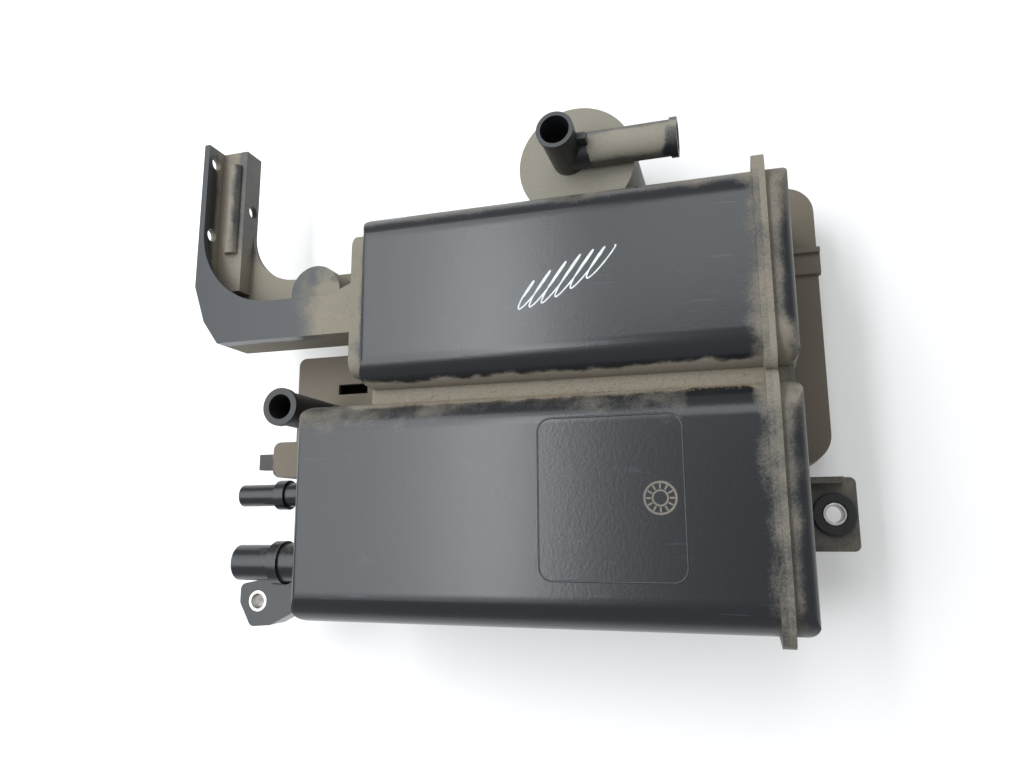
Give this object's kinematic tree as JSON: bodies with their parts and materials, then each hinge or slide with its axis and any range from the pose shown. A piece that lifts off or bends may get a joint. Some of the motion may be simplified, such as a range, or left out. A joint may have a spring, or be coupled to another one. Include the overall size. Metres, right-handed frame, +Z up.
{
  "type": "charcoal canister",
  "caption": "Fuel vapour canister: two carbon chambers side by side on a rear air box, with hose spigots, a round vent unit, a fixing lug, a grommet tab and a bracket arm.",
  "frame": {"origin": "middle of the rear lid's outline, on its outer face, on which the part lies", "axes": "+X along the chambers towards the end cover, +Y across them towards the vent unit, +Z up from the rear lid"},
  "size_m": [0.2985, 0.2394, 0.099],
  "materials": {
    "housing_plastic": "black glass-filled nylon with a soft sheen, dusty along the edges",
    "cover_plastic": "black glass-filled nylon with tan dust",
    "grid_plastic": "dark grey moulded plastic",
    "fleece": "pressed off-white fleece",
    "carbon": "packed black carbon pellets",
    "spring_steel": "bare spring wire",
    "zinc_steel": "zinc-plated steel",
    "rubber": "black rubber",
    "rear_plastic": "black plastic under a coat of tan dust",
    "filter_paper": "pale filter paper",
    "vent_plastic": "black plastic under a coat of tan dust",
    "bracket_plastic": "black plastic, dusty inside the channel"
  },
  "bodies": {
    "root": {"canister_housing": "housing_plastic", "end_cover": "cover_plastic", "lower_inlet_grid": "grid_plastic", "lower_inlet_fleece": "fleece", "lower_carbon_bed": "carbon", "lower_outlet_fleece": "fleece", "lower_pressure_plate": "grid_plastic", "lower_spring": "spring_steel", "upper_inlet_grid": "grid_plastic", "upper_inlet_fleece": "fleece", "upper_carbon_bed": "carbon", "upper_outlet_fleece": "fleece", "upper_pressure_plate": "grid_plastic", "upper_spring": "spring_steel", "lug_sleeve": "zinc_steel", "tab_grommet": "rubber", "grommet_sleeve": "zinc_steel", "rear_box": "rear_plastic", "rear_lid": "rear_plastic", "lid_seal": "rubber", "panel_filter": "filter_paper", "port_seal": "rubber", "vent_body": "vent_plastic", "vent_cap": "vent_plastic", "vent_seal": "rubber", "vent_filter": "filter_paper", "bracket_arm": "bracket_plastic"}
  },
  "joints": []
}
